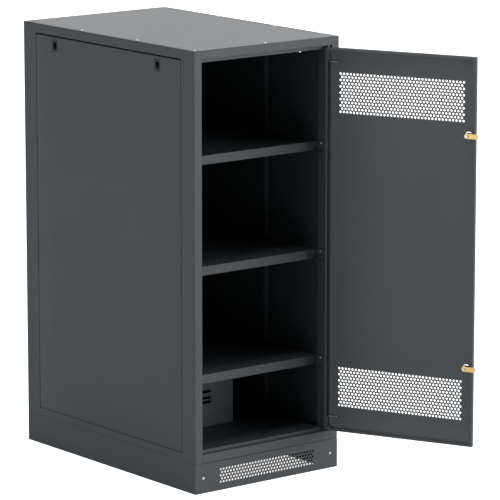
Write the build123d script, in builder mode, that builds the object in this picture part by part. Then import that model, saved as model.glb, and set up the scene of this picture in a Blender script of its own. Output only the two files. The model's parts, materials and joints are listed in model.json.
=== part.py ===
"""Battery cabinet: a welded frame on a vented plinth, with shelves, side panels and a perforated door.

Millimetres. X runs to the right, Y to the back and Z up. The origin is the middle of the
footprint on the floor. The door stands open against its stop, with both cam locks turned out.
"""
import os
from math import sqrt

from build123d import *

os.makedirs("parts", exist_ok=True)

# ---- overall sizes ----
width = 600
depth = 950
height = 1460

# ---- sheet metal ----
frame_sheet = 2.0
panel_sheet = 1.5
seat_gap = 0.3
bend_radius = 1.5

# ---- plinth ----
plinth_height = 100
plinth_flange = 40
anchor_hole_radius = 7
anchor_inset_x = 20
anchor_inset_y = 75
grille_hole = 8.0
grille_pitch = 12.2
grille_columns = 33
grille_rows = 5
grille_height = 49
plinth_screw_inset = 33

# ---- frame ----
post_face = 30
post_depth = 71
rail_height = 28
fascia_height = 26
stop_set_back = 20.5
stop_width = 12
top_stop_drop = 14
bottom_stop_rise = 10
mid_upright_depth = 22
mid_upright_setback = 354

# ---- covers ----
panel_gap = 1.2
panel_flange = 12
roof_screw_inset = 14
roof_screw_rows = 4
screw_head_radius = 5.5
screw_head_height = 2.6
screw_shank_radius = 2.5
rear_screw_inset = 60

# ---- side panel latches ----
latch_width = 34
latch_height = 43
latch_top_gap = 11
latch_front_inset = 126
latch_rear_inset = 111
latch_depth = 9
latch_wall = 4
finger_slot_width = 18
finger_slot_height = 23
latch_travel = 10
tongue_reach = 8
tongue_thickness = 3

# ---- shelves ----
shelf_tops = [376, 738, 1104]
shelf_lip = 30
shelf_side_gap = 0.5
shelf_slot_length = 230
shelf_slot_width = 7
shelf_slot_offset = 26
shelf_slot_start = 275
rail_leg = 20
rail_end_inset = 36
rail_screw_inset = 52
rail_screw_drop = 5

# ---- terminal cover on the floor ----
cover_right = 87
cover_width = 280
cover_depth = 190
cover_front = 295
cover_height = 214
cover_slot_length = 92
cover_slot_width = 9
cover_slot_levels = [84, 99, 121]

# ---- door ----
door_gap_side = 2.5
door_gap_bottom = 3
door_gap_top = 6
door_depth = 18
door_return = 9
door_angle = 115.3
hinge_edge_distance = 6.7
hinge_face_distance = 5.5
vent_hole = 15.6
vent_pitch = 24.4
vent_columns = 18
vent_rows = 7
vent_start = 48
vent_inset_z = 150
pin_radius = 3
pin_clearance = 0.05
pin_proud = 1
pin_handle_length = 42
pin_handle_drop = 48
pin_guide_length = 22
pin_guide_height = 12

# ---- cam locks ----
lock_from_edge = 26.3
lock_levels = [396, 1168]
lock_barrel_radius = 9
lock_head_radius = 12
lock_head_height = 4
lock_nut_radius = 14
lock_nut_height = 5
key_slot_length = 7
key_slot_width = 1.6
cam_length = 42
cam_half_width = 8
cam_thickness = 3
cam_set_back = 1.5
core_radius = 5.5
core_clearance = 0.05
core_stud_radius = 3
core_head_radius = 6
core_head_height = 3
strike_clearance = 1.2

# ---- places worked out from the sizes ----
half_width = width / 2
half_depth = depth / 2
roof_bottom = height - frame_sheet
opening_half = half_width - post_face
opening_bottom = plinth_height + rail_height + frame_sheet
opening_top = roof_bottom - fascia_height
post_back = post_depth - half_depth
stop_face = stop_set_back - half_depth
side_rail_top = plinth_height + rail_height
top_rail_bottom = roof_bottom - rail_height - frame_sheet
post_length = roof_bottom - plinth_height
side_span = depth - 2 * post_depth
lock_names = ["lower", "upper"]
cam_plane_y = stop_face + frame_sheet + cam_set_back

hinge_x = opening_half - door_gap_side - hinge_edge_distance
hinge_y = -half_depth + hinge_face_distance
door_bottom = opening_bottom + door_gap_bottom
door_top = opening_top - door_gap_top
door_height = door_top - door_bottom
door_reach = hinge_x + opening_half - door_gap_side


def save(part, name):
    """Label a finished piece and write its own STEP file."""
    part.label = name
    export_step(part, f"parts/{name}.step")


def hung(piece):
    """Turn a door piece, drawn closed, to where the open door holds it."""
    return piece.rotate(Axis((hinge_x, hinge_y, 0), (0, 0, 1)), door_angle)


# ================= plinth =================
with BuildPart() as plinth_front:
    with BuildSketch(Plane.XZ.offset(half_depth)):
        with Locations((0, plinth_height / 2)):
            Rectangle(width, plinth_height)
    extrude(amount=-frame_sheet)
    row_step = grille_pitch * sqrt(3) / 2
    with BuildSketch(Plane.XZ.offset(half_depth)):
        for row in range(grille_rows):
            columns = grille_columns - row % 2
            level = grille_height + row_step * (row - (grille_rows - 1) / 2)
            with Locations((0, level)):
                with GridLocations(grille_pitch, 1, columns, 1):
                    RegularPolygon(grille_hole / 2, 6)
        with Locations((0, plinth_height / 2)):
            with GridLocations(width - 2 * plinth_screw_inset, 1, 2, 1):
                Circle(screw_shank_radius)
    extrude(amount=-frame_sheet, mode=Mode.SUBTRACT)
save(plinth_front.part, "plinth_front")

with BuildPart() as plinth_screws:
    for side in (-1, 1):
        head_plane = Plane.XZ.offset(half_depth)
        place = (side * (half_width - plinth_screw_inset), plinth_height / 2)
        with BuildSketch(head_plane):
            with Locations(place):
                Circle(screw_head_radius)
        extrude(amount=screw_head_height, taper=22)
        with BuildSketch(head_plane):
            with Locations(place):
                Circle(screw_shank_radius)
        extrude(amount=-3 * frame_sheet)
save(plinth_screws.part, "plinth_screws")

for side, hand in ((-1, "left"), (1, "right")):
    with BuildPart() as plinth_side:
        with BuildSketch(Plane.XZ.offset(half_depth - frame_sheet)):
            with BuildLine():
                Polyline(
                    (side * half_width, 0),
                    (side * (half_width - plinth_flange), 0),
                    (side * (half_width - plinth_flange), frame_sheet),
                    (side * (half_width - frame_sheet), frame_sheet),
                    (side * (half_width - frame_sheet), plinth_height - frame_sheet),
                    (side * (half_width - plinth_flange), plinth_height - frame_sheet),
                    (side * (half_width - plinth_flange), plinth_height),
                    (side * half_width, plinth_height),
                    close=True,
                )
            make_face()
        extrude(amount=-(depth - 2 * frame_sheet))
        with BuildSketch(Plane.XY):
            with Locations((side * (half_width - anchor_inset_x), 0)):
                with GridLocations(1, depth - 2 * anchor_inset_y, 1, 2):
                    Circle(anchor_hole_radius)
        extrude(amount=frame_sheet, mode=Mode.SUBTRACT)
    save(plinth_side.part, f"plinth_{hand}")

with BuildPart() as plinth_rear:
    with BuildSketch(Plane.XZ.offset(-half_depth)):
        with Locations((0, plinth_height / 2)):
            Rectangle(width, plinth_height)
    extrude(amount=frame_sheet)
save(plinth_rear.part, "plinth_rear")

# ================= corner posts =================
strike_height = 2 * cam_half_width + 2 * strike_clearance
strike_sweep = cam_length * 0.75
for side, hand in ((-1, "left"), (1, "right")):
    for end, place in ((-1, "front"), (1, "rear")):
        middle_x = side * (half_width - post_face / 2)
        middle_y = end * (half_depth - post_depth / 2)
        with BuildPart() as post:
            with BuildSketch(Plane.XY.offset(plinth_height)):
                with Locations((middle_x, middle_y)):
                    Rectangle(post_face, post_depth)
                    Rectangle(post_face - 2 * frame_sheet, post_depth - 2 * frame_sheet, mode=Mode.SUBTRACT)
            extrude(amount=post_length)
            outer = post.edges().filter_by(Axis.Z).sort_by(Axis.Y)
            corners = outer[:2] if end < 0 else outer[-2:]
            fillet(corners, bend_radius)
            if end < 0:
                with BuildSketch(Plane.XY.offset(opening_bottom)):
                    with Locations((side * (opening_half - stop_width / 2), stop_face + frame_sheet / 2)):
                        Rectangle(stop_width, frame_sheet)
                extrude(amount=opening_top - opening_bottom)
            if end < 0 and side < 0:
                for level in lock_levels:
                    with BuildSketch(Plane.YZ.offset(-opening_half)):
                        with Locations((cam_plane_y + cam_thickness / 2, level - strike_sweep / 2)):
                            Rectangle(cam_thickness + 2 * strike_clearance, strike_height + strike_sweep)
                    extrude(amount=-frame_sheet, mode=Mode.SUBTRACT)
        save(post.part, f"post_{place}_{hand}")

# ================= front rails, folded with the door stop =================
pin_hole_radius = pin_radius + pin_clearance
for name, level, face_height, turn, stop in (
    ("fascia", opening_top, fascia_height, 1, top_stop_drop),
    ("sill", opening_bottom, opening_bottom - plinth_height, -1, bottom_stop_rise),
):
    with BuildPart() as front_rail:
        with BuildSketch(Plane.YZ.offset(-opening_half)):
            with BuildLine():
                Polyline(
                    (-half_depth, level),
                    (stop_face + frame_sheet, level),
                    (stop_face + frame_sheet, level + turn * frame_sheet),
                    (-half_depth + frame_sheet, level + turn * frame_sheet),
                    (-half_depth + frame_sheet, level + turn * face_height),
                    (-half_depth, level + turn * face_height),
                    close=True,
                )
            make_face()
        extrude(amount=2 * opening_half)
        with BuildSketch(Plane.YZ.offset(-(opening_half - stop_width))):
            with Locations((stop_face + frame_sheet / 2, level - turn * stop / 2)):
                Rectangle(frame_sheet, stop)
        extrude(amount=2 * (opening_half - stop_width))
        with BuildSketch(Plane.XY.offset(level)):
            with Locations((hinge_x, hinge_y)):
                Circle(pin_hole_radius)
        extrude(amount=turn * frame_sheet, mode=Mode.SUBTRACT)
    save(front_rail.part, f"front_{name}")

# ================= rear rails =================
for name, bottom, top in (
    ("rail_rear_top", top_rail_bottom, roof_bottom),
    ("rail_rear_bottom", plinth_height, side_rail_top),
):
    with BuildPart() as rear_rail:
        with BuildSketch(Plane.YZ.offset(-opening_half)):
            with Locations((half_depth - post_face / 2, (bottom + top) / 2)):
                Rectangle(post_face, top - bottom)
                Rectangle(post_face - 2 * frame_sheet, top - bottom - 2 * frame_sheet, mode=Mode.SUBTRACT)
        extrude(amount=2 * opening_half)
    save(rear_rail.part, name)

# ================= side rails: an upturned channel on top, a tray below =================
for side, hand in ((-1, "left"), (1, "right")):
    for name, closed_level, open_level in (
        ("top", roof_bottom, top_rail_bottom),
        ("bottom", plinth_height, side_rail_top),
    ):
        fold = frame_sheet if open_level > closed_level else -frame_sheet
        outer_x = side * half_width
        inner_x = side * opening_half
        with BuildPart() as side_rail:
            with BuildSketch(Plane.XZ.offset(-post_back)):
                with BuildLine():
                    Polyline(
                        (outer_x, open_level),
                        (outer_x, closed_level),
                        (inner_x, closed_level),
                        (inner_x, open_level),
                        (inner_x + side * frame_sheet, open_level),
                        (inner_x + side * frame_sheet, closed_level + fold),
                        (outer_x - side * frame_sheet, closed_level + fold),
                        (outer_x - side * frame_sheet, open_level),
                        close=True,
                    )
                make_face()
            extrude(amount=-side_span)
        save(side_rail.part, f"side_rail_{name}_{hand}")

# ================= uprights behind the side panels =================
for side, hand in ((-1, "left"), (1, "right")):
    upright_width = post_face - frame_sheet - panel_flange - seat_gap
    upright_x = side * (opening_half + frame_sheet + upright_width / 2)
    with BuildPart() as upright:
        with BuildSketch(Plane.XY.offset(plinth_height + frame_sheet)):
            with Locations((upright_x, mid_upright_setback + mid_upright_depth / 2 - half_depth)):
                Rectangle(upright_width, mid_upright_depth)
                Rectangle(
                    upright_width - 2 * frame_sheet,
                    mid_upright_depth - 2 * frame_sheet,
                    mode=Mode.SUBTRACT,
                )
        extrude(amount=post_length - 2 * frame_sheet)
    save(upright.part, f"upright_{hand}")

# ================= roof =================
roof_span_x = width - 2 * roof_screw_inset
roof_span_y = depth - 2 * roof_screw_inset
with BuildPart() as roof:
    with BuildSketch(Plane.XY.offset(roof_bottom)):
        Rectangle(width, depth)
        with GridLocations(roof_span_x, roof_span_y / (roof_screw_rows - 1), 2, roof_screw_rows):
            Circle(screw_shank_radius, mode=Mode.SUBTRACT)
        with GridLocations(1, roof_span_y, 1, 2):
            Circle(screw_shank_radius, mode=Mode.SUBTRACT)
    extrude(amount=frame_sheet)
    top_rim = roof.faces().sort_by(Axis.Z)[-1].outer_wire().edges()
    fillet(top_rim, frame_sheet / 2)
save(roof.part, "roof")

with BuildPart() as roof_screws:
    for radius, amount, taper in ((screw_head_radius, 1, 30), (screw_shank_radius, -frame_sheet, 0)):
        with BuildSketch(Plane.XY.offset(height)):
            with GridLocations(roof_span_x, roof_span_y / (roof_screw_rows - 1), 2, roof_screw_rows):
                Circle(radius)
            with GridLocations(1, roof_span_y, 1, 2):
                Circle(radius)
        extrude(amount=amount, taper=taper)
save(roof_screws.part, "roof_screws")

# ================= side panels and their slide latches =================
panel_length = side_span - 2 * panel_gap
panel_height = top_rail_bottom - panel_gap - side_rail_top
panel_top = side_rail_top + panel_height
latch_level = panel_top - latch_top_gap - latch_height / 2
latch_bottom = latch_level - latch_height / 2
latch_places = (
    (latch_front_inset - side_span / 2, "front"),
    (side_span / 2 - latch_rear_inset, "rear"),
)
channel_width = finger_slot_width + 2 * seat_gap
channel_floor = latch_bottom + latch_wall
slider_bottom = channel_floor + latch_travel + seat_gap
slider_top = panel_top + tongue_reach
tongue_width = finger_slot_width - 4
for side, hand in ((-1, "left"), (1, "right")):
    face = Plane.YZ.offset(side * half_width)
    inward = -side
    with BuildPart() as side_panel:
        with BuildSketch(face):
            with Locations((0, side_rail_top + panel_height / 2)):
                Rectangle(panel_length, panel_height)
        extrude(amount=inward * panel_flange)
        with BuildSketch(face.offset(inward * panel_sheet)):
            with Locations((0, side_rail_top + panel_height / 2)):
                Rectangle(panel_length - 2 * panel_sheet, panel_height - 2 * panel_sheet)
        extrude(amount=inward * panel_flange, mode=Mode.SUBTRACT)
        with BuildSketch(face):
            for place, _ in latch_places:
                with Locations((place, latch_level)):
                    Rectangle(latch_width, latch_height)
        extrude(amount=inward * panel_sheet, mode=Mode.SUBTRACT)
        with BuildSketch(face.offset(inward * panel_sheet)):
            for place, _ in latch_places:
                with Locations((place, panel_top)):
                    Rectangle(channel_width, 4 * panel_sheet)
        extrude(amount=inward * panel_flange, mode=Mode.SUBTRACT)
    save(side_panel.part, f"side_panel_{hand}")

    for place, row in latch_places:
        with BuildPart() as latch_body:
            with BuildSketch(face):
                with Locations((place, latch_level)):
                    Rectangle(latch_width, latch_height)
            extrude(amount=inward * latch_depth)
            with BuildSketch(face):
                with Locations((place, latch_level)):
                    Rectangle(finger_slot_width, finger_slot_height)
            extrude(amount=inward * latch_wall, mode=Mode.SUBTRACT)
            with BuildSketch(face.offset(inward * latch_wall)):
                with Locations((place, channel_floor + latch_height / 2)):
                    Rectangle(channel_width, latch_height)
            extrude(amount=inward * latch_depth, mode=Mode.SUBTRACT)
        save(latch_body.part, f"latch_body_{hand}_{row}")

        with BuildPart() as latch_slider:
            slider_face = face.offset(inward * (latch_wall + seat_gap))
            with BuildSketch(slider_face):
                with Locations((place, (slider_bottom + latch_level + latch_height / 2) / 2)):
                    Rectangle(finger_slot_width, latch_level + latch_height / 2 - slider_bottom)
                with Locations((place, (latch_level + slider_top) / 2)):
                    Rectangle(tongue_width, slider_top - latch_level)
            extrude(amount=inward * tongue_thickness)
            with BuildSketch(slider_face):
                with Locations((place, latch_level)):
                    Rectangle(finger_slot_width - 6, 8)
            extrude(amount=inward * tongue_thickness / 2, mode=Mode.SUBTRACT)
        save(latch_slider.part, f"latch_slider_{hand}_{row}")

# ================= rear panel =================
rear_panel_bottom = side_rail_top
rear_panel_height = top_rail_bottom - panel_gap - rear_panel_bottom
rear_panel_width = 2 * (opening_half - panel_gap)
rear_screw_span = rear_panel_height - 2 * rear_screw_inset
with BuildPart() as rear_panel:
    with BuildSketch(Plane.XZ.offset(-half_depth)):
        with Locations((0, rear_panel_bottom + rear_panel_height / 2)):
            Rectangle(rear_panel_width, rear_panel_height)
    extrude(amount=panel_flange)
    with BuildSketch(Plane.XZ.offset(panel_sheet - half_depth)):
        with Locations((0, rear_panel_bottom + rear_panel_height / 2)):
            Rectangle(rear_panel_width - 2 * panel_sheet, rear_panel_height - 2 * panel_sheet)
    extrude(amount=panel_flange, mode=Mode.SUBTRACT)
save(rear_panel.part, "rear_panel")

with BuildPart() as rear_screws:
    with BuildSketch(Plane.XZ.offset(-half_depth)):
        with Locations((0, rear_panel_bottom + rear_panel_height / 2)):
            with GridLocations(rear_panel_width - 2 * panel_flange, rear_screw_span / 2, 2, 3):
                Circle(screw_head_radius)
    extrude(amount=-screw_head_height, taper=22)
save(rear_screws.part, "rear_screws")

# ================= floor plate =================
with BuildPart() as floor_plate:
    with BuildSketch(Plane.XY.offset(side_rail_top)):
        Rectangle(2 * (opening_half + frame_sheet), side_span)
        Rectangle(2 * opening_half, depth - 2 * (stop_set_back + frame_sheet))
    extrude(amount=frame_sheet)
save(floor_plate.part, "floor_plate")

# ================= shelves on their bearer rails =================
shelf_names = ["lower", "middle", "upper"]
bearer_length = depth - 2 * rail_end_inset
shelf_half = opening_half - frame_sheet - shelf_side_gap
slot_middle = shelf_slot_start + shelf_slot_length / 2 - half_depth
for shelf_top, place in zip(shelf_tops, shelf_names):
    shelf_foot = shelf_top - shelf_lip
    with BuildPart() as shelf:
        with BuildSketch(Plane.XY.offset(shelf_foot)):
            Rectangle(2 * shelf_half, side_span)
        extrude(amount=shelf_lip)
        with BuildSketch(Plane.XY.offset(shelf_foot)):
            Rectangle(2 * (shelf_half - panel_sheet), side_span - 2 * panel_sheet)
        extrude(amount=shelf_lip - panel_sheet, mode=Mode.SUBTRACT)
        with BuildSketch(Plane.XY.offset(shelf_top)):
            with Locations((-shelf_slot_offset, slot_middle), (shelf_slot_offset, slot_middle)):
                SlotOverall(shelf_slot_length, shelf_slot_width, rotation=90)
        extrude(amount=-panel_sheet, mode=Mode.SUBTRACT)
    save(shelf.part, f"shelf_{place}")

    for side, hand in ((-1, "left"), (1, "right")):
        with BuildPart() as bearer:
            with BuildSketch(Plane.XZ.offset(half_depth - rail_end_inset)):
                with BuildLine():
                    Polyline(
                        (side * opening_half, shelf_foot - frame_sheet),
                        (side * (opening_half - rail_leg), shelf_foot - frame_sheet),
                        (side * (opening_half - rail_leg), shelf_foot),
                        (side * (opening_half - frame_sheet), shelf_foot),
                        (side * (opening_half - frame_sheet), shelf_top),
                        (side * opening_half, shelf_top),
                        close=True,
                    )
                make_face()
            extrude(amount=-bearer_length)
        save(bearer.part, f"shelf_bearer_{place}_{hand}")

with BuildPart() as shelf_screws:
    for side in (-1, 1):
        with BuildSketch(Plane.YZ.offset(side * (opening_half - frame_sheet))):
            for shelf_top in shelf_tops:
                with Locations((0, shelf_top - rail_screw_drop)):
                    with GridLocations(depth - 2 * rail_screw_inset, 1, 2, 1):
                        Circle(screw_head_radius - 1)
        extrude(amount=-side * screw_head_height, taper=22)
save(shelf_screws.part, "shelf_screws")

# ================= terminal cover on the floor plate =================
floor_top = side_rail_top + frame_sheet
cover_middle_x = cover_right - cover_width / 2
cover_front_y = cover_front - half_depth
with BuildPart() as terminal_cover:
    with BuildSketch(Plane.XY.offset(floor_top)):
        with Locations((cover_middle_x, cover_front_y + cover_depth / 2)):
            Rectangle(cover_width, cover_depth)
    extrude(amount=cover_height)
    with BuildSketch(Plane.XY.offset(floor_top)):
        with Locations((cover_middle_x, cover_front_y + panel_sheet + cover_depth / 2)):
            Rectangle(cover_width - 2 * panel_sheet, cover_depth)
    extrude(amount=cover_height - panel_sheet, mode=Mode.SUBTRACT)
    with BuildSketch(Plane.XZ.offset(-cover_front_y)):
        for level in cover_slot_levels:
            with Locations((cover_middle_x, floor_top + level)):
                SlotOverall(cover_slot_length, cover_slot_width)
    extrude(amount=-panel_sheet, mode=Mode.SUBTRACT)
save(terminal_cover.part, "terminal_cover")

# ================= door =================
door_middle = hinge_x + hinge_edge_distance - (door_reach + hinge_edge_distance) / 2
door_width = door_reach + hinge_edge_distance
door_face = Plane.XZ.offset(half_depth)
door_centre = (door_middle, door_bottom + door_height / 2)
vent_middle = hinge_x - vent_start - vent_pitch * (vent_columns - 1) / 2
vent_row_step = vent_pitch * sqrt(3) / 2
lock_x = hinge_x - door_reach + lock_from_edge
with BuildPart() as door_panel:
    with BuildSketch(door_face):
        with Locations(door_centre):
            Rectangle(door_width, door_height)
    extrude(amount=-door_depth)
    with BuildSketch(door_face.offset(-panel_sheet)):
        with Locations(door_centre):
            Rectangle(door_width - 2 * panel_sheet, door_height - 2 * panel_sheet)
    extrude(amount=2 * panel_sheet - door_depth, mode=Mode.SUBTRACT)
    with BuildSketch(door_face.offset(-door_depth)):
        with Locations(door_centre):
            Rectangle(door_width - 2 * door_return, door_height - 2 * door_return)
    extrude(amount=panel_sheet, mode=Mode.SUBTRACT)
    vertical = door_panel.edges().filter_by(Axis.Z).group_by(Axis.Y)[0]
    fillet(vertical, bend_radius)
    with BuildSketch(door_face):
        for field_middle in (
            door_bottom + vent_inset_z,
            door_top - vent_inset_z,
        ):
            for row in range(vent_rows):
                level = field_middle + vent_row_step * (row - (vent_rows - 1) / 2)
                with Locations((vent_middle, level)):
                    with GridLocations(vent_pitch, 1, vent_columns - row % 2, 1):
                        RegularPolygon(vent_hole / 2, 6)
        for level in lock_levels:
            with Locations((lock_x, level)):
                Circle(lock_barrel_radius)
    extrude(amount=-panel_sheet, mode=Mode.SUBTRACT)
    with BuildSketch(Plane.XY.offset(door_bottom)):
        with Locations((hinge_x, hinge_y)):
            Circle(pin_hole_radius)
    extrude(amount=door_height, mode=Mode.SUBTRACT)
save(hung(door_panel.part), "door_panel")

# ---- spring pins the door turns on, each with a bent handle, in a guide block ----
guide_edge = hinge_x + hinge_edge_distance - panel_sheet
for end, name, gap in ((-1, "lower", door_gap_bottom), (1, "upper", door_gap_top)):
    edge_level = door_bottom if end < 0 else door_top
    guide_start = edge_level - end * panel_sheet
    with BuildPart() as pin_guide:
        with BuildSketch(Plane.XY.offset(guide_start)):
            with BuildLine():
                Polyline(
                    (guide_edge, -half_depth + panel_sheet),
                    (guide_edge - pin_guide_length, -half_depth + panel_sheet),
                    (guide_edge - pin_guide_length, hinge_y + 2 * pin_radius),
                    (guide_edge, -half_depth + door_depth - panel_sheet),
                    close=True,
                )
            make_face()
            with Locations((hinge_x, hinge_y)):
                Circle(pin_hole_radius, mode=Mode.SUBTRACT)
        extrude(amount=-end * pin_guide_height)
    save(hung(pin_guide.part), f"hinge_guide_{name}")

    tip_level = edge_level + end * (gap + frame_sheet + pin_proud)
    handle_level = edge_level - end * pin_handle_drop
    with BuildPart() as hinge_pin:
        with BuildSketch(Plane.XY.offset(handle_level - end * pin_radius)):
            with Locations((hinge_x, hinge_y)):
                Circle(pin_radius)
        extrude(amount=tip_level - handle_level + end * pin_radius)
        with BuildSketch(Plane.YZ.offset(hinge_x)):
            with Locations((hinge_y, handle_level)):
                Circle(pin_radius)
        extrude(amount=-pin_handle_length)
    save(hung(hinge_pin.part), f"hinge_pin_{name}")

# ---- cam locks ----
barrel_back = cam_plane_y - seat_gap
for level, name in zip(lock_levels, lock_names):
    with BuildPart() as lock_barrel:
        with BuildSketch(door_face):
            with Locations((lock_x, level)):
                Circle(lock_head_radius)
                Circle(core_radius + core_clearance, mode=Mode.SUBTRACT)
        extrude(amount=lock_head_height, taper=10)
        with BuildSketch(door_face):
            with Locations((lock_x, level)):
                Circle(lock_barrel_radius)
                Circle(core_radius + core_clearance, mode=Mode.SUBTRACT)
        extrude(amount=-(barrel_back + half_depth))
    save(hung(lock_barrel.part), f"lock_barrel_{name}")

    with BuildPart() as lock_nut:
        with BuildSketch(door_face.offset(-panel_sheet)):
            with Locations((lock_x, level)):
                RegularPolygon(lock_nut_radius, 6)
                Circle(lock_barrel_radius, mode=Mode.SUBTRACT)
        extrude(amount=-lock_nut_height)
    save(hung(lock_nut.part), f"lock_nut_{name}")

    with BuildPart() as lock_core:
        with BuildSketch(door_face.offset(lock_head_height)):
            with Locations((lock_x, level)):
                Circle(core_radius)
        extrude(amount=-(lock_head_height + cam_plane_y + half_depth))
        with BuildSketch(Plane.XZ.offset(-cam_plane_y)):
            with Locations((lock_x, level)):
                Circle(core_stud_radius)
        extrude(amount=-cam_thickness)
        with BuildSketch(Plane.XZ.offset(-cam_plane_y - cam_thickness)):
            with Locations((lock_x, level)):
                RegularPolygon(core_head_radius, 6)
        extrude(amount=-core_head_height)
        with BuildSketch(door_face.offset(lock_head_height)):
            with Locations((lock_x, level)):
                SlotOverall(key_slot_length, key_slot_width, rotation=90)
        extrude(amount=-lock_head_height, mode=Mode.SUBTRACT)
    save(hung(lock_core.part), f"lock_core_{name}")

    with BuildPart() as lock_cam:
        with BuildSketch(Plane.XZ.offset(-cam_plane_y)):
            with Locations((lock_x, level)):
                Circle(cam_half_width)
            with Locations((lock_x - (cam_length - cam_half_width) / 2, level)):
                Rectangle(cam_length - cam_half_width, 2 * cam_half_width)
            with Locations((lock_x - cam_length + cam_half_width, level)):
                Circle(cam_half_width)
            with Locations((lock_x, level)):
                Circle(core_stud_radius, mode=Mode.SUBTRACT)
        extrude(amount=-cam_thickness)
    save(hung(lock_cam.part), f"lock_cam_{name}")
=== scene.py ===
import json
import math

import bmesh
import bpy
from mathutils import Matrix, Vector


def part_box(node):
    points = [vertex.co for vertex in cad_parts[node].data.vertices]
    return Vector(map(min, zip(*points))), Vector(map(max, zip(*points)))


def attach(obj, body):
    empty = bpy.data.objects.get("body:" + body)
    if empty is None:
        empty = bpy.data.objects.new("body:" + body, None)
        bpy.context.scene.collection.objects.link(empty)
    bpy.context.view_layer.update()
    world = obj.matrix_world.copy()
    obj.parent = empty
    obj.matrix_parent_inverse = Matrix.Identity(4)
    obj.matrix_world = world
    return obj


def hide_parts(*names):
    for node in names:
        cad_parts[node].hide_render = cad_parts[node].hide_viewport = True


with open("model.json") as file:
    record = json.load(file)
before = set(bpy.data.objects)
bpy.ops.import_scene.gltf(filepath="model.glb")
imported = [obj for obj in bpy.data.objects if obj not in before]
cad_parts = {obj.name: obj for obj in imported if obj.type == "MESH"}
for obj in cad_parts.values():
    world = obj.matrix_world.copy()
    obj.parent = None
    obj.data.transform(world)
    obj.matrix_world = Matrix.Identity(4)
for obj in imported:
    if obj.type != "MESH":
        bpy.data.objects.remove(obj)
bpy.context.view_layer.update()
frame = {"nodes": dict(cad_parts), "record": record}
nodes = frame["nodes"]
joints = {joint["name"]: joint for joint in frame["record"]["behaviour"]["joints"]}


# ---- studio ----
# A pale floor that runs out to white under soft lamps: the strongest stand front right, left and
# overhead, and weaker ones fill the back. The camera stands off the left front corner.
floor_size = 60
floor_mesh = bpy.data.meshes.new("studio_floor")
shape = bmesh.new()
bmesh.ops.create_grid(shape, x_segments=1, y_segments=1, size=floor_size / 2)
shape.to_mesh(floor_mesh)
shape.free()
floor = bpy.data.objects.new("studio_floor", floor_mesh)
bpy.context.collection.objects.link(floor)
paper = bpy.data.materials.new("floor_paper")
paper.use_nodes = True
tree = paper.node_tree
surface = tree.nodes["Principled BSDF"]
surface.inputs["Roughness"].default_value = 0.95
surface.inputs["Specular IOR Level"].default_value = 0
place = tree.nodes.new("ShaderNodeTexCoord")
fibre = tree.nodes.new("ShaderNodeTexNoise")
fibre.inputs["Scale"].default_value = 30
tree.links.new(place.outputs["Object"], fibre.inputs["Vector"])
shade = tree.nodes.new("ShaderNodeValToRGB")
shade.color_ramp.elements[0].color = (0.78, 0.78, 0.78, 1)
shade.color_ramp.elements[1].color = (0.82, 0.82, 0.82, 1)
tree.links.new(fibre.outputs["Fac"], shade.inputs["Fac"])
tree.links.new(shade.outputs["Color"], surface.inputs["Base Color"])
seen = tree.nodes.new("ShaderNodeLightPath")
glow = tree.nodes.new("ShaderNodeMath")
glow.operation = "MULTIPLY"
glow.inputs[1].default_value = 0.9
tree.links.new(seen.outputs["Is Camera Ray"], glow.inputs[0])
surface.inputs["Emission Color"].default_value = (1, 1, 1, 1)
tree.links.new(glow.outputs[0], surface.inputs["Emission Strength"])
floor_mesh.materials.append(paper)

world = bpy.data.worlds.new("studio_sky")
bpy.context.scene.world = world
world.use_nodes = True
sky = world.node_tree
sky_light = sky.nodes["Background"]
sky_light.inputs["Color"].default_value = (1, 1, 1, 1)
sky_light.inputs["Strength"].default_value = 0.05
sky_seen = sky.nodes.new("ShaderNodeBackground")
sky_seen.inputs["Color"].default_value = (1, 1, 1, 1)
sky_path = sky.nodes.new("ShaderNodeLightPath")
sky_mix = sky.nodes.new("ShaderNodeMixShader")
sky.links.new(sky_path.outputs["Is Camera Ray"], sky_mix.inputs["Fac"])
sky.links.new(sky_light.outputs[0], sky_mix.inputs[1])
sky.links.new(sky_seen.outputs[0], sky_mix.inputs[2])
sky.links.new(sky_mix.outputs[0], sky.nodes["World Output"].inputs["Surface"])

# name: strength, spread in degrees, and the direction in which the light travels
lamps = {
    "overhead": (1.8, 40, (0.0, 0.0, -1.0)),
    "front_right": (2.87, 40, (-0.609, 0.769, -0.12)),
    "left": (1.68, 40, (0.98, 0.0, -0.12)),
    "right": (0.66, 40, (-0.9, 0.3, -0.3)),
    "back_right": (0.91, 40, (-0.609, -0.769, -0.2)),
}
for name, (strength, spread, direction) in lamps.items():
    lamp = bpy.data.lights.new(name, "SUN")
    lamp.energy = strength
    lamp.angle = math.radians(spread)
    lamp_object = bpy.data.objects.new(name, lamp)
    lamp_object.rotation_euler = Vector(direction).to_track_quat("-Z", "Y").to_euler()
    bpy.context.collection.objects.link(lamp_object)

camera_data = bpy.data.cameras.new("camera")
camera_data.sensor_width = 36
camera_data.lens = 258.35
camera = bpy.data.objects.new("camera", camera_data)
camera.location = (-7.1965, -9.4692, 3.0644)
camera.rotation_euler = (math.radians(90 - 11.223), 0, math.radians(-38.378))
bpy.context.collection.objects.link(camera)
bpy.context.scene.camera = camera
bpy.context.scene.view_settings.view_transform = "Standard"


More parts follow.
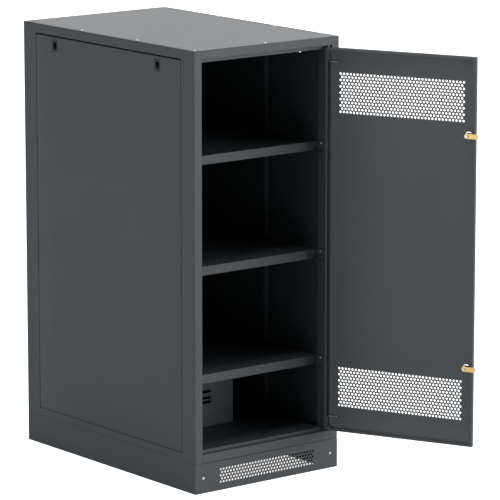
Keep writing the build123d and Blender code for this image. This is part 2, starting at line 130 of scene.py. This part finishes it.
# ---- powder-coated sheet ----
# Frame, covers, shelves and door are folded steel sheet with a fine-grained grey powder coat.
# The grain is a faint bump, and the coat's tone drifts a little over each large face.
def powder_coat(name, colour, roughness=0.5):
    material = bpy.data.materials.new(name)
    material.use_nodes = True
    tree = material.node_tree
    surface = tree.nodes["Principled BSDF"]
    surface.inputs["Specular IOR Level"].default_value = 0.5
    place = tree.nodes.new("ShaderNodeTexCoord")

    drift = tree.nodes.new("ShaderNodeTexNoise")
    drift.inputs["Scale"].default_value = 3.5
    drift.inputs["Detail"].default_value = 3
    tree.links.new(place.outputs["Object"], drift.inputs["Vector"])
    tone = tree.nodes.new("ShaderNodeValToRGB")
    tone.color_ramp.elements[0].position = 0.3
    tone.color_ramp.elements[1].position = 0.7
    tone.color_ramp.elements[0].color = (*[part * 0.95 for part in colour], 1)
    tone.color_ramp.elements[1].color = (*[part * 1.05 for part in colour], 1)
    tree.links.new(drift.outputs["Fac"], tone.inputs["Fac"])

    speckle = tree.nodes.new("ShaderNodeTexNoise")
    speckle.inputs["Scale"].default_value = 420
    speckle.inputs["Detail"].default_value = 2
    tree.links.new(place.outputs["Object"], speckle.inputs["Vector"])
    speckle_range = tree.nodes.new("ShaderNodeMapRange")
    speckle_range.inputs["To Min"].default_value = 0.93
    speckle_range.inputs["To Max"].default_value = 1.07
    tree.links.new(speckle.outputs["Fac"], speckle_range.inputs["Value"])
    mixed = tree.nodes.new("ShaderNodeVectorMath")
    mixed.operation = "SCALE"
    tree.links.new(tone.outputs["Color"], mixed.inputs[0])
    tree.links.new(speckle_range.outputs["Result"], mixed.inputs["Scale"])
    tree.links.new(mixed.outputs[0], surface.inputs["Base Color"])

    gloss = tree.nodes.new("ShaderNodeMapRange")
    gloss.inputs["To Min"].default_value = roughness - 0.05
    gloss.inputs["To Max"].default_value = roughness + 0.07
    tree.links.new(speckle.outputs["Fac"], gloss.inputs["Value"])
    tree.links.new(gloss.outputs["Result"], surface.inputs["Roughness"])

    grain = tree.nodes.new("ShaderNodeTexNoise")
    grain.inputs["Scale"].default_value = 900
    tree.links.new(place.outputs["Object"], grain.inputs["Vector"])
    bump = tree.nodes.new("ShaderNodeBump")
    bump.inputs["Strength"].default_value = 0.12
    bump.inputs["Distance"].default_value = 0.0004
    tree.links.new(grain.outputs["Fac"], bump.inputs["Height"])
    tree.links.new(bump.outputs["Normal"], surface.inputs["Normal"])
    return material


coat = powder_coat("grey_powder_coat", (0.040, 0.049, 0.055))
fold_radius = 0.0011
unpainted = ("latch", "lock", "hinge_pin")
painted = [name for name in nodes if not name.startswith(unpainted) and not name.endswith("screws")]
for name in painted:
    node = nodes[name]
    node.data.materials.clear()
    node.data.materials.append(coat)
    weld = node.modifiers.new("joined_sheet", "WELD")
    weld.merge_threshold = 0.00002
    fold = node.modifiers.new("folded_edges", "BEVEL")
    fold.width = fold_radius
    fold.segments = 2
    fold.limit_method = "ANGLE"
    fold.angle_limit = math.radians(50)
    fold.use_clamp_overlap = True


# ---- perforated sheet ----
# Staggered rows of round holes, punched in the door and in the plinth's front. One cell of the
# pattern is a hole in a small plate; the cells join edge to edge, and short rows end in blanks.
hole_radius = 0.004
hole_pitch = 0.0122
hole_rows_apart = hole_pitch * math.sqrt(3) / 2
hole_sides = 16
joined = 0.00001


def perforated_field(columns, rows):
    cell = bmesh.new()
    bmesh.ops.create_grid(cell, x_segments=4, y_segments=4, size=0.5)
    inside = [vert for vert in cell.verts if not vert.is_boundary]
    bmesh.ops.delete(cell, geom=inside, context="VERTS")
    bmesh.ops.scale(cell, vec=(hole_pitch, hole_rows_apart, 1), verts=cell.verts)
    bmesh.ops.create_circle(cell, segments=hole_sides, radius=hole_radius, cap_ends=False)
    bmesh.ops.bridge_loops(cell, edges=cell.edges)
    cell_mesh = bpy.data.meshes.new("cell")
    cell.to_mesh(cell_mesh)
    cell.free()

    blank = bmesh.new()
    bmesh.ops.create_grid(blank, x_segments=2, y_segments=4, size=0.5)
    bmesh.ops.scale(blank, vec=(hole_pitch / 2, hole_rows_apart, 1), verts=blank.verts)
    blank_mesh = bpy.data.meshes.new("blank")
    blank.to_mesh(blank_mesh)
    blank.free()

    field = bmesh.new()
    for row in range(rows):
        short = row % 2
        level = (row - (rows - 1) / 2) * hole_rows_apart
        holes = columns - short
        steps = [(cell_mesh, (column - (holes - 1) / 2) * hole_pitch) for column in range(holes)]
        if short:
            steps += [(blank_mesh, end * (columns / 2 - 0.25) * hole_pitch) for end in (-1, 1)]
        for mesh, across in steps:
            count = len(field.verts)
            field.from_mesh(mesh)
            field.verts.ensure_lookup_table()
            bmesh.ops.translate(field, vec=(across, level, 0), verts=field.verts[count:])
    bmesh.ops.remove_doubles(field, verts=field.verts, dist=joined)
    bpy.data.meshes.remove(cell_mesh)
    bpy.data.meshes.remove(blank_mesh)
    return field


def draw_out(sheet, axis, level, target):
    rim = [
        edge
        for edge in sheet.edges
        if all(abs(vert.co[axis] - level) < joined for vert in edge.verts)
    ]
    fresh = bmesh.ops.extrude_edge_only(sheet, edges=rim)["geom"]
    move = [0, 0, 0]
    move[axis] = target - level
    drawn = [item for item in fresh if isinstance(item, bmesh.types.BMVert)]
    bmesh.ops.translate(sheet, vec=move, verts=drawn)


def finished(shape, name, material, smooth_angle=35):
    bmesh.ops.remove_doubles(shape, verts=shape.verts, dist=joined / 2)
    bmesh.ops.recalc_face_normals(shape, faces=shape.faces)
    mesh = bpy.data.meshes.new(name)
    shape.to_mesh(mesh)
    shape.free()
    mesh.shade_smooth()
    mesh.set_sharp_from_angle(angle=math.radians(smooth_angle))
    mesh.materials.append(material)
    piece = bpy.data.objects.new(name, mesh)
    bpy.context.collection.objects.link(piece)
    return piece


# ---- door ----
# A tray folded from 1.5 mm sheet: the face with its two perforated fields, a flange all round
# and a lip turned back in from it. It is drawn closed and turned to where it stands open.
door_columns = 37
door_rows = 13
door_thickness = 0.0015
door_tray_depth = 0.018
door_lip = 0.009
door_bend = 0.0022
door_edge = 0.0067
door_reach = 0.5283
door_face_out = 0.0055
vent_middle_across = 0.261
vent_middle_low = 0.2835
vent_middle_high = 1.276

hinge = joints["door_hinge"]
hinge_at = Vector((*hinge["pos_m"][:2], 0))
open_turn = Matrix.Rotation(math.radians(-hinge["range_deg"][0]), 3, "Z")


def hung(shape):
    # from the drawing (across from the hinge, up, in from the face) to the open door
    closed = Matrix(((-1, 0, 0), (0, 0, 1), (0, 1, 0)))
    bmesh.ops.transform(shape, matrix=closed.to_4x4(), verts=shape.verts)
    bmesh.ops.translate(shape, vec=(0, -door_face_out, 0), verts=shape.verts)
    matrix = Matrix.Translation(hinge_at) @ open_turn.to_4x4()
    bmesh.ops.transform(shape, matrix=matrix, verts=shape.verts)
    return shape


door_low, door_high = (corner.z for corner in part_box("door_panel"))
tray = perforated_field(door_columns, door_rows)
half_across = door_columns * hole_pitch / 2
half_up = door_rows * hole_rows_apart / 2
draw_out(tray, 0, -half_across, -door_edge - vent_middle_across)
draw_out(tray, 0, half_across, door_reach - vent_middle_across)
bmesh.ops.translate(tray, vec=(vent_middle_across, vent_middle_low, 0), verts=tray.verts)
upper = bmesh.ops.duplicate(tray, geom=tray.verts[:] + tray.edges[:] + tray.faces[:])["geom"]
upper_verts = [item for item in upper if isinstance(item, bmesh.types.BMVert)]
bmesh.ops.translate(tray, vec=(0, vent_middle_high - vent_middle_low, 0), verts=upper_verts)
draw_out(tray, 1, vent_middle_low - half_up, door_low)
draw_out(tray, 1, vent_middle_high + half_up, door_high)
draw_out(tray, 1, vent_middle_low + half_up, vent_middle_high - half_up)
bmesh.ops.remove_doubles(tray, verts=tray.verts, dist=joined)


def on_rim(vert):
    across, up = vert.co.x, vert.co.y
    distances = (across + door_edge, across - door_reach, up - door_low, up - door_high)
    return min(abs(distance) for distance in distances) < joined


def rim_edges(shape, depth):
    return [
        edge
        for edge in shape.edges
        if edge.is_boundary
        and all(on_rim(vert) and abs(vert.co.z - depth) < joined for vert in edge.verts)
    ]


folds = rim_edges(tray, 0)
flange = bmesh.ops.extrude_edge_only(tray, edges=folds)["geom"]
flange_verts = [item for item in flange if isinstance(item, bmesh.types.BMVert)]
bmesh.ops.translate(tray, vec=(0, 0, door_tray_depth), verts=flange_verts)
lip_folds = rim_edges(tray, door_tray_depth)
lip = bmesh.ops.extrude_edge_only(tray, edges=lip_folds)["geom"]
lip_verts = [item for item in lip if isinstance(item, bmesh.types.BMVert)]
for axis, level, move in (
    (0, -door_edge, door_lip),
    (0, door_reach, -door_lip),
    (1, door_low, door_lip),
    (1, door_high, -door_lip),
):
    step = [0, 0, 0]
    step[axis] = move
    turned_in = [vert for vert in lip_verts if abs(vert.co[axis] - level) < joined]
    bmesh.ops.translate(tray, vec=step, verts=turned_in)
bends = [
    edge
    for edge in tray.edges
    if all(on_rim(vert) for vert in edge.verts)
    and (
        all(abs(vert.co.z) < joined for vert in edge.verts)
        or all(abs(vert.co.z - door_tray_depth) < joined for vert in edge.verts)
    )
]
bmesh.ops.bevel(
    tray,
    geom=bends,
    offset=door_bend,
    segments=3,
    profile=0.5,
    affect="EDGES",
    clamp_overlap=True,
    material=-1,
)
bmesh.ops.recalc_face_normals(tray, faces=tray.faces)
middle_face = max(tray.faces, key=lambda face: face.calc_area())
inward = 1 if middle_face.normal.z < 0 else -1
bmesh.ops.solidify(tray, geom=tray.faces[:], thickness=door_thickness * inward)
door = finished(hung(tray), "door_skin", coat)
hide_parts("door_panel")
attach(door, "door")


# ---- plinth front ----
# The plate that closes the front of the plinth, with its own field of the same punched holes
# for air and cables. A flange turned in along its top stands just under the sill.
grille_columns = 33
grille_rows = 5
grille_level = 0.049
grille_sheet = 0.0015
seam = 0.0012
grille_flange = 0.018
plate_low, plate_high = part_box("plinth_front")
plate = perforated_field(grille_columns, grille_rows)
half_across = grille_columns * hole_pitch / 2
half_up = grille_rows * hole_rows_apart / 2
draw_out(plate, 0, -half_across, plate_low.x)
draw_out(plate, 0, half_across, plate_high.x)
draw_out(plate, 1, -half_up, plate_low.z - grille_level)
top_edge = plate_high.z - seam - grille_level
draw_out(plate, 1, half_up, top_edge)
top_rim = [
    edge
    for edge in plate.edges
    if all(abs(vert.co.y - top_edge) < joined for vert in edge.verts)
]
flange = bmesh.ops.extrude_edge_only(plate, edges=top_rim)["geom"]
flange_verts = [item for item in flange if isinstance(item, bmesh.types.BMVert)]
bmesh.ops.translate(plate, vec=(0, 0, -grille_flange), verts=flange_verts)
bmesh.ops.recalc_face_normals(plate, faces=plate.faces)
plate.faces.ensure_lookup_table()
behind = 1 if plate.faces[0].normal.z > 0 else -1
bmesh.ops.solidify(plate, geom=plate.faces[:], thickness=grille_sheet * behind)
bmesh.ops.transform(plate, matrix=Matrix.Rotation(math.radians(90), 4, "X"), verts=plate.verts)
lowest = min(vert.co.y for vert in plate.verts)
bmesh.ops.translate(plate, vec=(0, plate_low.y - lowest, grille_level), verts=plate.verts)
plinth_front = finished(plate, "plinth_grille", coat)
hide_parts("plinth_front")
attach(plinth_front, "cabinet")


# ---- side panels ----
# Trays of the same sheet that hang between the posts, with an open gap along the top for the
# latches' tongues and an opening round each latch. The flanges are folded in all round.
panel_thickness = 0.0015
panel_bend = 0.0013
panel_flange = 0.012
panel_top_gap = 0.0045
panel_side_gap = 0.0026
panel_bottom_gap = 0.0008
cad_gap = 0.0012

rail_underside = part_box("side_rail_top_left")[0].z
for hand, side in (("left", -1), ("right", 1)):
    low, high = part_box(f"side_panel_{hand}")
    left, right = low.y - cad_gap + panel_side_gap, high.y + cad_gap - panel_side_gap
    bottom, top = low.z + panel_bottom_gap, rail_underside - panel_top_gap
    panel = bmesh.new()
    bmesh.ops.create_grid(panel, x_segments=1, y_segments=1, size=0.5)
    bmesh.ops.scale(panel, vec=(right - left, top - bottom, 1), verts=panel.verts)
    bmesh.ops.translate(panel, vec=((left + right) / 2, (bottom + top) / 2, 0), verts=panel.verts)
    windows = []
    for row in ("front", "rear"):
        near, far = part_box(f"latch_body_{hand}_{row}")
        windows.append((near.y, far.y, near.z, far.z))
        for axis, cuts in ((0, (near.y, far.y)), (1, (near.z, far.z))):
            for cut in cuts:
                plane = Vector((0, 0, 0))
                plane[axis] = cut
                across = Vector((0, 0, 0))
                across[axis] = 1
                bmesh.ops.bisect_plane(
                    panel,
                    geom=panel.verts[:] + panel.edges[:] + panel.faces[:],
                    dist=joined,
                    plane_co=plane,
                    plane_no=across,
                )
    opened = [
        face
        for face in panel.faces
        for y0, y1, z0, z1 in windows
        if y0 < face.calc_center_median().x < y1 and z0 < face.calc_center_median().y < z1
    ]
    bmesh.ops.delete(panel, geom=opened, context="FACES")

    def on_edge(vert):
        across, up = vert.co.x, vert.co.y
        return min(abs(across - left), abs(across - right), abs(up - bottom), abs(up - top)) < joined

    rim = [
        edge
        for edge in panel.edges
        if edge.is_boundary and all(on_edge(vert) for vert in edge.verts)
    ]
    fresh = bmesh.ops.extrude_edge_only(panel, edges=rim)["geom"]
    deep = [item for item in fresh if isinstance(item, bmesh.types.BMVert)]
    bmesh.ops.translate(panel, vec=(0, 0, panel_flange), verts=deep)
    folds = [
        edge
        for edge in panel.edges
        if all(on_edge(vert) and abs(vert.co.z) < joined for vert in edge.verts)
    ]
    bmesh.ops.bevel(
        panel,
        geom=folds,
        offset=panel_bend,
        segments=3,
        profile=0.5,
        affect="EDGES",
        clamp_overlap=True,
        material=-1,
    )
    bmesh.ops.recalc_face_normals(panel, faces=panel.faces)
    widest = max(panel.faces, key=lambda face: face.calc_area())
    inward = 1 if widest.normal.z < 0 else -1
    bmesh.ops.solidify(panel, geom=panel.faces[:], thickness=panel_thickness * inward)
    # the drawing's across, up and in become Y, Z and the way into the cabinet
    laid = Matrix(((0, 0, -side), (1, 0, 0), (0, 1, 0))).to_4x4()
    bmesh.ops.transform(panel, matrix=laid, verts=panel.verts)
    outermost = min(side * -vert.co.x for vert in panel.verts)
    face_at = low.x if side < 0 else high.x
    bmesh.ops.translate(panel, vec=(face_at - side * -outermost, 0, 0), verts=panel.verts)
    skin = finished(panel, f"side_skin_{hand}", coat)
    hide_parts(f"side_panel_{hand}")
    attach(skin, "cabinet")


# ---- plated and moulded hardware ----
# Screws, nuts and cores are bright zinc-plated steel. The hinge pins are the same zinc with painted
# shade, darkened to stand in for the dark surroundings they reflect. The cams are yellow passivated
# zinc, and the side panels' slide latches matt black mouldings, with the sliders darker still as painted
# shade.
def plated(name, light, dark, roughness, metallic, sheen=0.5):
    material = bpy.data.materials.new(name)
    material.use_nodes = True
    tree = material.node_tree
    surface = tree.nodes["Principled BSDF"]
    surface.inputs["Metallic"].default_value = metallic
    surface.inputs["Specular IOR Level"].default_value = sheen
    place = tree.nodes.new("ShaderNodeTexCoord")
    cloud = tree.nodes.new("ShaderNodeTexNoise")
    cloud.inputs["Scale"].default_value = 160
    cloud.inputs["Detail"].default_value = 4
    tree.links.new(place.outputs["Object"], cloud.inputs["Vector"])
    tone = tree.nodes.new("ShaderNodeValToRGB")
    tone.color_ramp.elements[0].position = 0.35
    tone.color_ramp.elements[1].position = 0.65
    tone.color_ramp.elements[0].color = (*dark, 1)
    tone.color_ramp.elements[1].color = (*light, 1)
    tree.links.new(cloud.outputs["Fac"], tone.inputs["Fac"])
    tree.links.new(tone.outputs["Color"], surface.inputs["Base Color"])
    gloss = tree.nodes.new("ShaderNodeMapRange")
    gloss.inputs["To Min"].default_value = roughness - 0.06
    gloss.inputs["To Max"].default_value = roughness + 0.06
    tree.links.new(cloud.outputs["Fac"], gloss.inputs["Value"])
    tree.links.new(gloss.outputs["Result"], surface.inputs["Roughness"])
    scratch = tree.nodes.new("ShaderNodeTexNoise")
    scratch.inputs["Scale"].default_value = 1500
    tree.links.new(place.outputs["Object"], scratch.inputs["Vector"])
    bump = tree.nodes.new("ShaderNodeBump")
    bump.inputs["Strength"].default_value = 0.08
    bump.inputs["Distance"].default_value = 0.0002
    tree.links.new(scratch.outputs["Fac"], bump.inputs["Height"])
    tree.links.new(bump.outputs["Normal"], surface.inputs["Normal"])
    return material


zinc = plated("bright_zinc", (0.72, 0.73, 0.72), (0.52, 0.53, 0.52), 0.27, 1.0)
# painted shade: the pins' zinc is darkened to stand in for the dark interior and door that they reflect
shade_darkened_zinc = plated("shade_darkened_zinc", (0.20, 0.20, 0.20), (0.11, 0.11, 0.11), 0.3, 1.0)
yellow_zinc = plated("yellow_zinc", (0.86, 0.62, 0.25), (0.74, 0.50, 0.18), 0.4, 0.35)
moulding = plated("black_moulding", (0.030, 0.031, 0.032), (0.022, 0.023, 0.024), 0.6, 0.0, 0.3)
# painted shade: the sliders' moulding is nearly black and without sheen, standing in for the shade of
# the latch recess
recess_shaded_moulding = plated("recess_shaded_moulding", (0.004, 0.004, 0.004), (0.002, 0.002, 0.002), 0.7, 0.0, 0.05)
edge_break = 0.0006
for name, node in nodes.items():
    if name in painted:
        continue
    node.data.materials.clear()
    if name.startswith("latch_slider"):
        node.data.materials.append(recess_shaded_moulding)
    elif name.startswith("latch"):
        node.data.materials.append(moulding)
    elif name.startswith("lock_cam"):
        node.data.materials.append(yellow_zinc)
    else:
        node.data.materials.append(zinc)
    weld = node.modifiers.new("joined_faces", "WELD")
    weld.merge_threshold = 0.00002
    broken = node.modifiers.new("broken_edges", "BEVEL")
    broken.width = edge_break
    broken.segments = 2
    broken.limit_method = "ANGLE"
    broken.angle_limit = math.radians(40)
    broken.use_clamp_overlap = True


# ---- hinge pins ----
# Each pin is a zinc-plated rod with a chamfered tip, bent over at its far end into the handle
# that draws it. It is drawn closed, along the hinge axis, and turned with the door.
pin_radius = 0.003
pin_chamfer = 0.0008
pin_bend = 0.006
pin_handle = 0.042
pin_sides = 20


def extruded(shape, face, move, swell=1.0):
    fresh = bmesh.ops.extrude_face_region(shape, geom=[face])["geom"]
    end = next(item for item in fresh if isinstance(item, bmesh.types.BMFace))
    shape.faces.remove(face)
    bmesh.ops.translate(shape, vec=move, verts=end.verts)
    centre = end.calc_center_median()
    bmesh.ops.scale(shape, vec=(swell, swell, swell), space=Matrix.Translation(-centre), verts=end.verts)
    return end


for place, sign in (("lower", 1), ("upper", -1)):
    low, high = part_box(f"hinge_pin_{place}")
    tip = low.z if sign > 0 else high.z
    handle_level = high.z - pin_radius if sign > 0 else low.z + pin_radius
    rod = bmesh.new()
    bmesh.ops.create_circle(rod, segments=pin_sides, radius=pin_radius - pin_chamfer, cap_ends=True)
    bmesh.ops.translate(rod, vec=(0, 0, tip), verts=rod.verts)
    rod.faces.ensure_lookup_table()
    keep = rod.faces[0]
    grown = pin_radius / (pin_radius - pin_chamfer)
    start = bmesh.ops.extrude_face_region(rod, geom=[keep])["geom"]
    end = next(item for item in start if isinstance(item, bmesh.types.BMFace))
    bmesh.ops.translate(rod, vec=(0, 0, sign * pin_chamfer), verts=end.verts)
    centre = end.calc_center_median()
    bmesh.ops.scale(rod, vec=(grown, grown, 1), space=Matrix.Translation(-centre), verts=end.verts)
    straight = handle_level - sign * pin_bend - (tip + sign * pin_chamfer)
    end = extruded(rod, end, (0, 0, straight))
    bend_centre = (-pin_bend, 0, handle_level - sign * pin_bend)
    turned = bmesh.ops.spin(
        rod,
        geom=[end],
        cent=bend_centre,
        axis=(0, 1, 0),
        angle=-sign * math.radians(90),
        steps=8,
        use_duplicate=False,
    )["geom_last"]
    rod.faces.remove(end)
    end = next(item for item in turned if isinstance(item, bmesh.types.BMFace))
    end = extruded(rod, end, (-(pin_handle - pin_bend - pin_chamfer), 0, 0))
    end = extruded(rod, end, (-pin_chamfer, 0, 0), 1 / grown)
    matrix = Matrix.Translation(hinge_at) @ open_turn.to_4x4()
    bmesh.ops.transform(rod, matrix=matrix, verts=rod.verts)
    pin = finished(rod, f"hinge_pin_rod_{place}", shade_darkened_zinc)
    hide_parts(f"hinge_pin_{place}")
    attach(pin, f"pin_{place}")


# ---- screws ----
# Pan-head screws with a cross recess hold the roof, the plinth's front, the rear panel and the
# shelf bearers. They are spun up ring by ring from the edge of the head.
screw_sides = 24
cross_arm = 0.62
cross_waist = 0.24
cross_depth = 0.55


def screw_head(radius, height):
    head = bmesh.new()
    bmesh.ops.create_circle(head, segments=screw_sides, radius=radius, cap_ends=False)
    edges = head.edges[:]
    steps = [(1.0, 0.25), (0.94, 0.55), (0.84, 0.8), (0.74, 0.94), (cross_arm + 0.06, 1.0)]
    last_factor, last_rise = 1.0, 0.0
    for factor, rise in steps:
        fresh = bmesh.ops.extrude_edge_only(head, edges=edges)["geom"]
        edges = [item for item in fresh if isinstance(item, bmesh.types.BMEdge)]
        edges = [edge for edge in edges if edge.is_boundary]
        ring = list({vert for edge in edges for vert in edge.verts})
        grow = factor / last_factor
        bmesh.ops.scale(head, vec=(grow, grow, 1), verts=ring)
        bmesh.ops.translate(head, vec=(0, 0, (rise - last_rise) * height), verts=ring)
        last_factor, last_rise = factor, rise
    for depth in (0.0, cross_depth):
        fresh = bmesh.ops.extrude_edge_only(head, edges=edges)["geom"]
        edges = [item for item in fresh if isinstance(item, bmesh.types.BMEdge)]
        edges = [edge for edge in edges if edge.is_boundary]
        ring = list({vert for edge in edges for vert in edge.verts})
        if depth == 0:
            for vert in ring:
                turn = math.degrees(math.atan2(vert.co.y, vert.co.x)) % 90
                reach = cross_arm if min(turn, 90 - turn) < 16 else cross_waist
                factor = reach / last_factor
                bmesh.ops.scale(head, vec=(factor, factor, 1), verts=[vert])
        else:
            bmesh.ops.scale(head, vec=(0.7, 0.7, 1), verts=ring)
            bmesh.ops.translate(head, vec=(0, 0, -depth * height), verts=ring)
    bmesh.ops.contextual_create(head, geom=edges)
    base = [edge for edge in head.edges if edge.is_boundary]
    bmesh.ops.contextual_create(head, geom=base)
    mesh = bpy.data.meshes.new("screw_head")
    head.to_mesh(mesh)
    head.free()
    return mesh


def screws(name, node, places, facing, radius, height):
    mesh = screw_head(radius, height)
    turn = Vector((0, 0, 1)).rotation_difference(Vector(facing)).to_matrix().to_4x4()
    group = bmesh.new()
    for count, at in enumerate(places):
        start = len(group.verts)
        group.from_mesh(mesh)
        group.verts.ensure_lookup_table()
        quarter = Matrix.Rotation(math.radians(37 * count), 4, "Z")
        matrix = Matrix.Translation(at) @ turn @ quarter
        bmesh.ops.transform(group, matrix=matrix, verts=group.verts[start:])
    bpy.data.meshes.remove(mesh)
    piece = finished(group, name, zinc, 30)
    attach(piece, "cabinet")
    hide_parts(node)


large, small = 0.0055, 0.0045
roof_head_height = 0.0024
head_height = 0.0026
screw_under_shelf = 0.005
low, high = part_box("roof_screws")
left, right, front, back = low.x + large, high.x - large, low.y + large, high.y - large
third = (back - front) / 3
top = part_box("roof")[1].z
roof_places = [(x, front + third * row, top) for x in (left, right) for row in range(4)]
roof_places += [((left + right) / 2, y, top) for y in (front, back)]
screws("roof_screw_heads", "roof_screws", roof_places, (0, 0, 1), large, roof_head_height)

low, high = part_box("plinth_screws")
plinth_places = [(x, plate_low.y, (low.z + high.z) / 2) for x in (low.x + large, high.x - large)]
screws("plinth_screw_heads", "plinth_screws", plinth_places, (0, -1, 0), large, head_height)

low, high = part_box("rear_screws")
rear_places = [
    (x, low.y, z)
    for x in (low.x + large, high.x - large)
    for z in (low.z + large, (low.z + high.z) / 2, high.z - large)
]
screws("rear_screw_heads", "rear_screws", rear_places, (0, 1, 0), large, high.y - low.y)

low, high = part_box("shelf_screws")
levels = [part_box(f"shelf_{place}")[1].z - screw_under_shelf for place in ("lower", "middle", "upper")]
for hand, side, wall in (("left", -1, low.x), ("right", 1, high.x)):
    shelf_places = [(wall, y, z) for y in (low.y + small, high.y - small) for z in levels]
    name = f"shelf_screw_heads_{hand}"
    screws(name, "shelf_screws", shelf_places, (-side, 0, 0), small, head_height)
